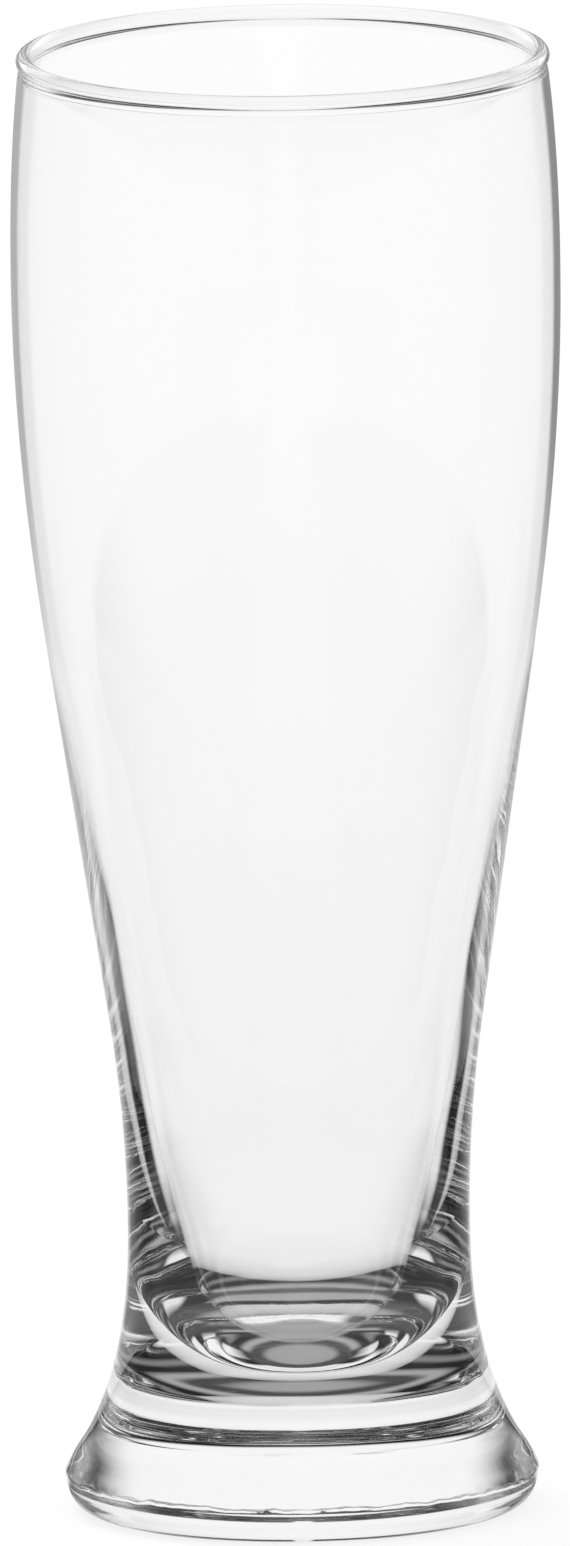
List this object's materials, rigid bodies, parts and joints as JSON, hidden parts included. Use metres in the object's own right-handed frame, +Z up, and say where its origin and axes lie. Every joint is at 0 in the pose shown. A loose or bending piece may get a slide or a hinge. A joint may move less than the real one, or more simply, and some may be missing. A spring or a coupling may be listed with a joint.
{
  "type": "weizen glass",
  "caption": "Tall clear wheat-beer glass with a slender waist, a wide upper bowl with a rolled lip, and a heavy solid flared foot.",
  "frame": {"origin": "centre of the bearing ring under the foot, on the table", "axes": "+Z up along the axis of the glass, which is round about it; -Y faces the picture's camera"},
  "size_m": [0.08, 0.08, 0.215],
  "materials": {
    "clear_glass": "clear, fire-polished soda-lime glass"
  },
  "bodies": {
    "root": {"bowl": "clear_glass", "foot": "clear_glass"}
  },
  "joints": []
}
